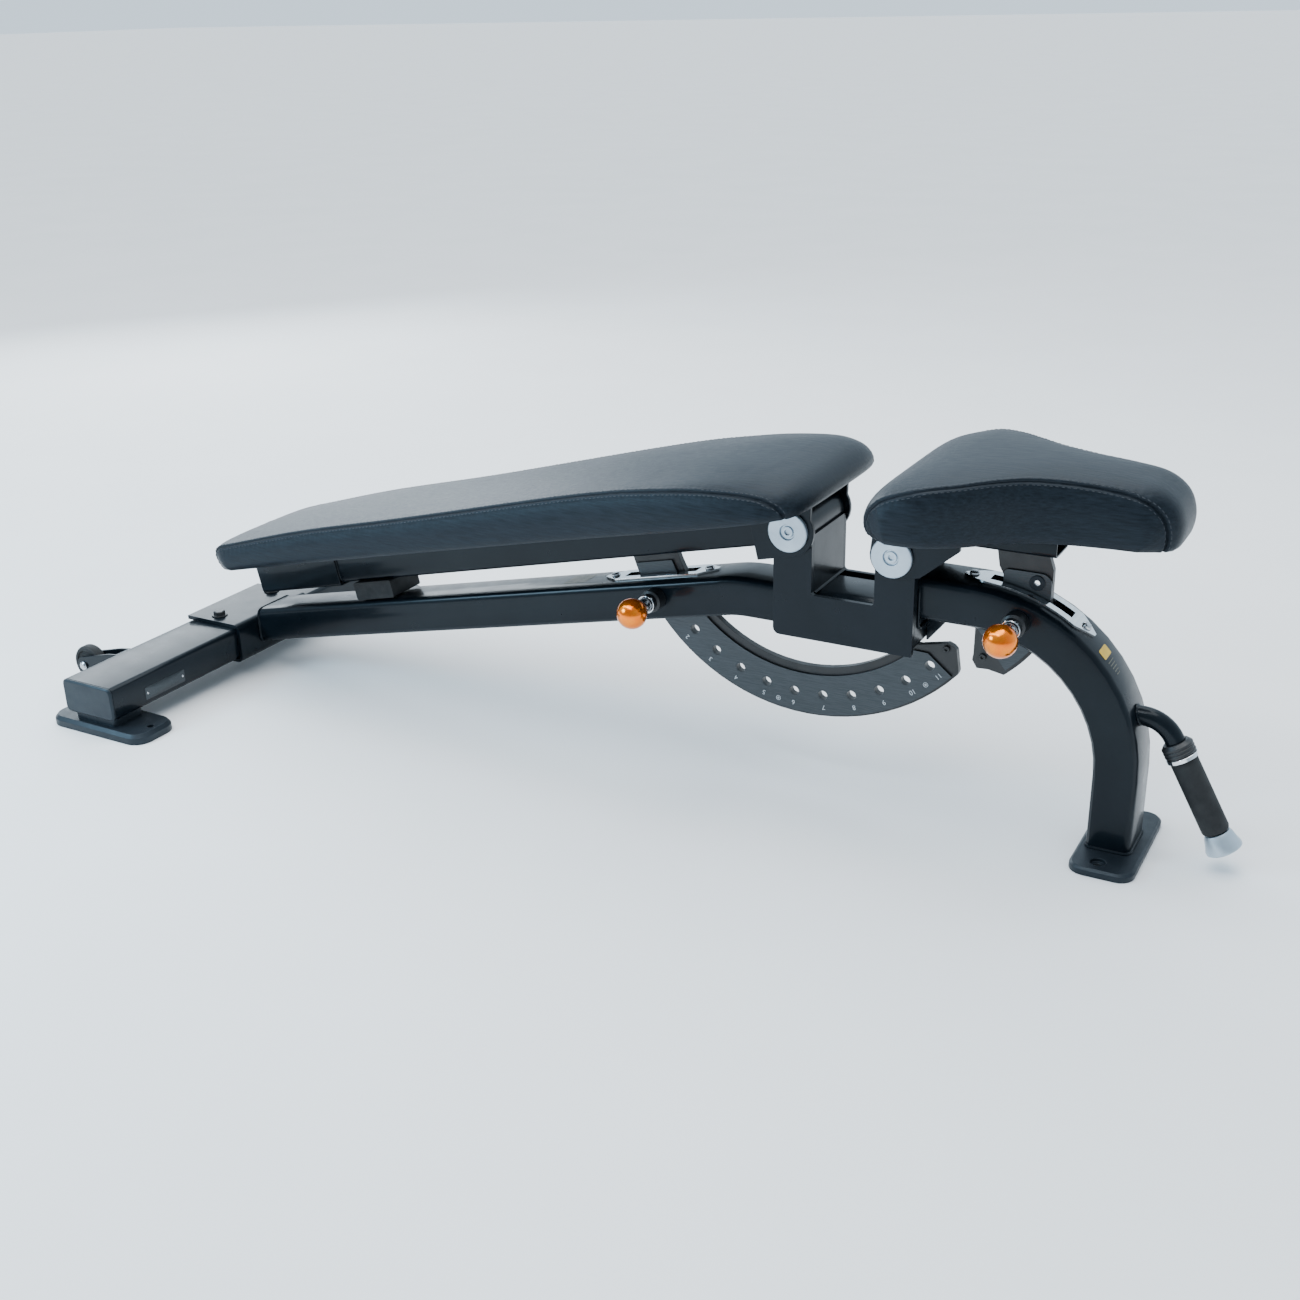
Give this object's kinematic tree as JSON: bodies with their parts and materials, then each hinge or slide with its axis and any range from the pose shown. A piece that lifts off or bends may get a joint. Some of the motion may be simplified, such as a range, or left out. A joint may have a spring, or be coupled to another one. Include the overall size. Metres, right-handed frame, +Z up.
{
  "type": "adjustable weight bench",
  "caption": "Adjustable weight bench: a T frame on a curved front leg, hinged backrest and seat with sector plates, pull pins, a drag handle and transport wheels.",
  "frame": {"origin": "on the floor under the middle of the whole bench", "axes": "+X towards the front leg and the seat, -X towards the rear crossbar and wheels, +Z up, -Y the side with the pull pins"},
  "size_m": [1.5643, 0.64, 0.4385],
  "materials": {
    "paint": "satin gloss powder coat",
    "brushed": "brushed",
    "polished": "mirror polish",
    "aluminium": "fine turned satin",
    "zinc": "bright zinc plate",
    "black_steel": "black, semi-matte",
    "orange": "orange anodised gloss",
    "rubber": "matte",
    "plastic": "fine moulded grain",
    "vinyl": "satin blue-grey upholstery",
    "plywood": "raw plywood"
  },
  "bodies": {
    "frame": {"rear_crossbar": "paint", "crossbar_cap_right": "plastic", "crossbar_cap_left": "plastic", "rear_foot_right": "plastic", "rear_foot_left": "plastic", "wheel_bracket_right": "paint", "wheel_bracket_left": "paint", "wheel_axle_right": "zinc", "wheel_axle_left": "zinc", "saddle_bracket": "paint", "saddle_bolt_right": "black_steel", "saddle_bolt_left": "black_steel", "rear_spine": "paint", "front_leg": "paint", "front_foot": "plastic", "pivot_plate_right": "paint", "pivot_plate_left": "paint", "rear_column": "paint", "front_column": "paint", "bracket_end_plate": "paint", "leg_gusset": "paint", "back_pivot_barrel": "paint", "seat_pivot_barrel": "paint", "back_slot_trim": "polished", "back_trim_screw_rear": "zinc", "back_trim_screw_front": "zinc", "seat_slot_trim": "polished", "seat_trim_screw_rear": "zinc", "seat_trim_screw_front": "zinc", "back_pin_housing": "black_steel", "seat_pin_housing": "black_steel", "handle_tube": "paint", "handle_collar": "black_steel", "handle_grip": "rubber", "handle_end_cap": "aluminium"},
    "backrest": {"backrest_channel": "paint", "backrest_tube": "paint", "backrest_head_sleeve": "paint", "backrest_sector": "black_steel", "backrest_sector_face": "brushed", "backrest_rest_block": "rubber", "backrest_board": "plywood", "backrest_pad": "vinyl", "back_pivot_axle": "aluminium", "back_pivot_disc": "aluminium"},
    "seat": {"seat_channel": "paint", "seat_tube": "paint", "seat_sector": "black_steel", "seat_sector_face": "brushed", "seat_board": "plywood", "seat_pad": "vinyl", "seat_pivot_axle": "aluminium", "seat_pivot_disc": "aluminium"},
    "back_pull_pin": {"back_pin": "zinc", "back_pin_knob": "orange"},
    "seat_pull_pin": {"seat_pin": "zinc", "seat_pin_knob": "orange"},
    "wheel_right": {"wheel_right": "rubber"},
    "wheel_left": {"wheel_left": "rubber"}
  },
  "joints": [
    {"name": "backrest_hinge", "type": "hinge", "parent": "frame", "child": "backrest", "pos_m": [0.264, 0, 0.3375], "axis": [0, 1, 0], "range_deg": [0, 102.6]},
    {"name": "seat_hinge", "type": "hinge", "parent": "frame", "child": "seat", "pos_m": [0.389, 0, 0.326], "axis": [0, -1, 0], "range_deg": [0, 17]},
    {"name": "back_pull_pin_slide", "type": "slide", "parent": "frame", "child": "back_pull_pin", "axis": [0, -1, 0], "range_m": [0, 0.012], "stiffness_N_per_m": 900, "springref_m": -0.004},
    {"name": "seat_pull_pin_slide", "type": "slide", "parent": "frame", "child": "seat_pull_pin", "axis": [0, -1, 0], "range_m": [0, 0.012], "stiffness_N_per_m": 900, "springref_m": -0.004},
    {"name": "wheel_right_spin", "type": "hinge", "parent": "frame", "child": "wheel_right", "pos_m": [-0.756, 0, 0.04], "axis": [0, 1, 0], "continuous": true},
    {"name": "wheel_left_spin", "type": "hinge", "parent": "frame", "child": "wheel_left", "pos_m": [-0.756, 0, 0.04], "axis": [0, 1, 0], "continuous": true}
  ]
}
